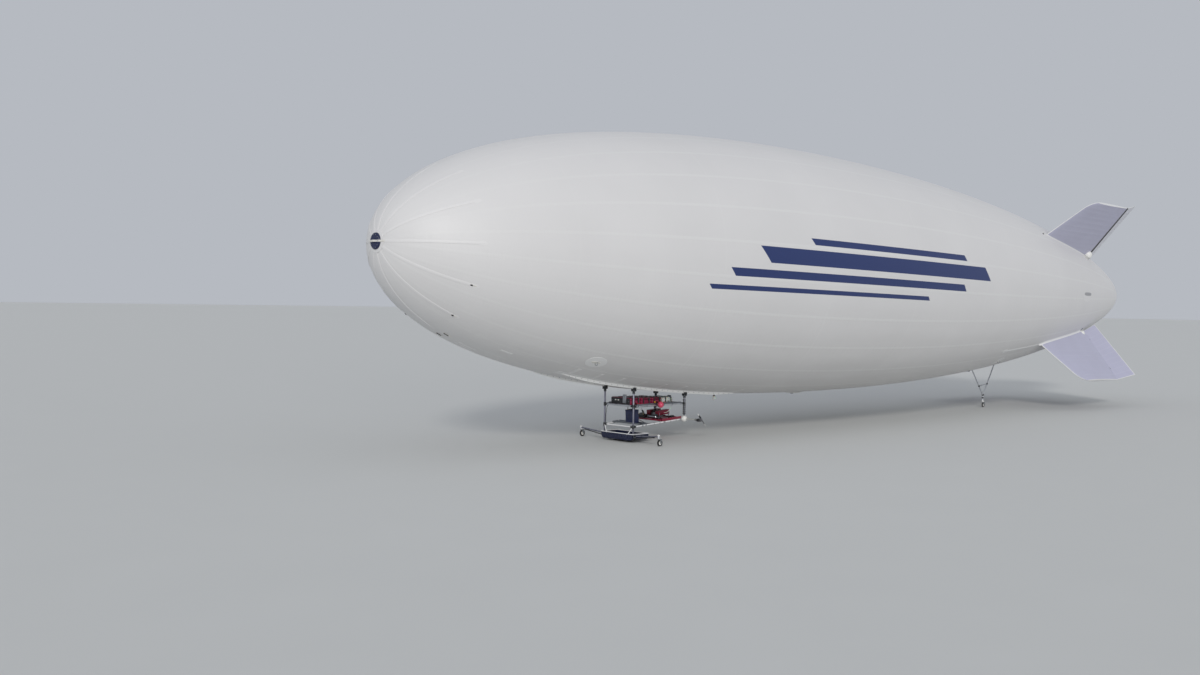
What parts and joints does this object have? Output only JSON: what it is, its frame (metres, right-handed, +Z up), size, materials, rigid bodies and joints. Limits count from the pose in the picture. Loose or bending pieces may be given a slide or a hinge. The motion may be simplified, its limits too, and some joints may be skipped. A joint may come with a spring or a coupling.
{
  "type": "airship",
  "caption": "Remotely flown airship with an X tail, hinged rudders, an open tube gondola, tilting side thrusters and a gear of castors.",
  "frame": {"origin": "centre of the object's box, on the ground it stands on", "axes": "+X to the nose, +Y to port (left), +Z up"},
  "size_m": [21.2972, 4.1608, 4.7665],
  "materials": {
    "envelope_fabric": "satin coated fabric",
    "fin_fabric": "satin coated fabric",
    "navy_paint": "satin",
    "white_paint": "satin",
    "red_paint": "satin",
    "white_plastic": "semi gloss",
    "dark_plastic": "matt",
    "lamp_red": "gloss",
    "lamp_green": "gloss",
    "frame_tube": "brushed",
    "deck_sheet": "satin",
    "engine_casting": "cast",
    "fork_steel": "zinc plated",
    "wheel_rubber": "matt"
  },
  "bodies": {
    "airframe": {"envelope": "envelope_fabric", "nose_disc": "navy_paint", "nose_battens": "white_plastic", "fin_upper_left": "fin_fabric", "fin_upper_right": "fin_fabric", "fin_lower_left": "fin_fabric", "fin_lower_right": "fin_fabric", "load_rail_left": "white_paint", "load_rail_right": "white_paint", "front_post_left": "frame_tube", "front_post_right": "frame_tube", "rear_post_left": "frame_tube", "rear_post_right": "frame_tube", "lower_rail_left": "frame_tube", "lower_rail_right": "frame_tube", "deck_rail_left": "frame_tube", "deck_rail_right": "frame_tube", "front_lower_tube": "frame_tube", "front_deck_tube": "frame_tube", "rear_lower_tube": "frame_tube", "rear_deck_tube": "frame_tube", "front_pan": "dark_plastic", "deck": "deck_sheet", "battery_front": "red_paint", "battery_middle": "red_paint", "battery_rear": "red_paint", "fuel_tank": "white_plastic", "engine_tray": "red_paint", "engine": "engine_casting", "control_shelf": "deck_sheet", "control_box": "navy_paint", "side_lamp_left": "lamp_red", "side_lamp_right": "lamp_green", "belly_lamp": "white_plastic", "thruster_bearing_left": "white_plastic", "thruster_bearing_right": "white_plastic", "outrigger_left": "frame_tube", "outrigger_right": "frame_tube", "tail_strut": "frame_tube"},
    "rudder_upper_left": {"rudder_upper_left": "fin_fabric"},
    "rudder_upper_right": {"rudder_upper_right": "fin_fabric"},
    "rudder_lower_left": {"rudder_lower_left": "fin_fabric"},
    "rudder_lower_right": {"rudder_lower_right": "fin_fabric"},
    "thruster_left": {"thruster_left": "dark_plastic"},
    "thruster_right": {"thruster_right": "dark_plastic"},
    "propeller_left": {"propeller_left": "dark_plastic"},
    "propeller_right": {"propeller_right": "dark_plastic"},
    "castor_left": {"castor_left_fork": "fork_steel"},
    "castor_right": {"castor_right_fork": "fork_steel"},
    "castor_tail": {"castor_tail_fork": "fork_steel"},
    "wheel_left": {"castor_left_wheel": "wheel_rubber"},
    "wheel_right": {"castor_right_wheel": "wheel_rubber"},
    "wheel_tail": {"castor_tail_wheel": "wheel_rubber"}
  },
  "joints": [
    {"name": "rudder_upper_left_turn", "type": "hinge", "parent": "airframe", "child": "rudder_upper_left", "pos_m": [-7.54863, 0.86321, 3.33697], "axis": [0.2452, 0.6952, 0.6757], "range_deg": [-39, 11]},
    {"name": "rudder_upper_right_turn", "type": "hinge", "parent": "airframe", "child": "rudder_upper_right", "pos_m": [-7.54863, -0.86321, 3.33697], "axis": [-0.2452, 0.6952, -0.6757], "range_deg": [-39, 11]},
    {"name": "rudder_lower_right_turn", "type": "hinge", "parent": "airframe", "child": "rudder_lower_right", "pos_m": [-7.51877, -0.8184, 1.62601], "axis": [-0.2692, 0.6591, 0.7022], "range_deg": [-39, 11]},
    {"name": "rudder_lower_left_turn", "type": "hinge", "parent": "airframe", "child": "rudder_lower_left", "pos_m": [-7.51877, 0.8184, 1.62601], "axis": [0.2692, 0.6591, -0.7022], "range_deg": [-39, 11]},
    {"name": "thruster_left_tilt", "type": "hinge", "parent": "airframe", "child": "thruster_left", "pos_m": [5.148, 0.62, 0.307], "axis": [0, 1, 0], "range_deg": [-90, 90]},
    {"name": "thruster_right_tilt", "type": "hinge", "parent": "airframe", "child": "thruster_right", "pos_m": [5.148, -0.62, 0.307], "axis": [0, 1, 0], "range_deg": [-90, 90]},
    {"name": "propeller_left_spin", "type": "hinge", "parent": "thruster_left", "child": "propeller_left", "pos_m": [5.085, 0.62, 0.307], "axis": [1, 0, 0], "continuous": true},
    {"name": "propeller_right_spin", "type": "hinge", "parent": "thruster_right", "child": "propeller_right", "pos_m": [5.085, -0.62, 0.307], "axis": [1, 0, 0], "continuous": true},
    {"name": "castor_left_swivel", "type": "hinge", "parent": "airframe", "child": "castor_left", "pos_m": [6.268, 0.84, 0.14], "axis": [0, 0, 1], "continuous": true},
    {"name": "castor_right_swivel", "type": "hinge", "parent": "airframe", "child": "castor_right", "pos_m": [6.268, -0.84, 0.14], "axis": [0, 0, 1], "continuous": true},
    {"name": "castor_tail_swivel", "type": "hinge", "parent": "airframe", "child": "castor_tail", "pos_m": [-4.592, 0, 0.15], "axis": [0, 0, 1], "continuous": true},
    {"name": "wheel_left_roll", "type": "hinge", "parent": "castor_left", "child": "wheel_left", "pos_m": [6.242, 0.84, 0.048], "axis": [0, 1, 0], "continuous": true},
    {"name": "wheel_right_roll", "type": "hinge", "parent": "castor_right", "child": "wheel_right", "pos_m": [6.242, -0.84, 0.048], "axis": [0, 1, 0], "continuous": true},
    {"name": "wheel_tail_roll", "type": "hinge", "parent": "castor_tail", "child": "wheel_tail", "pos_m": [-4.618, 0, 0.048], "axis": [0, 1, 0], "continuous": true}
  ]
}
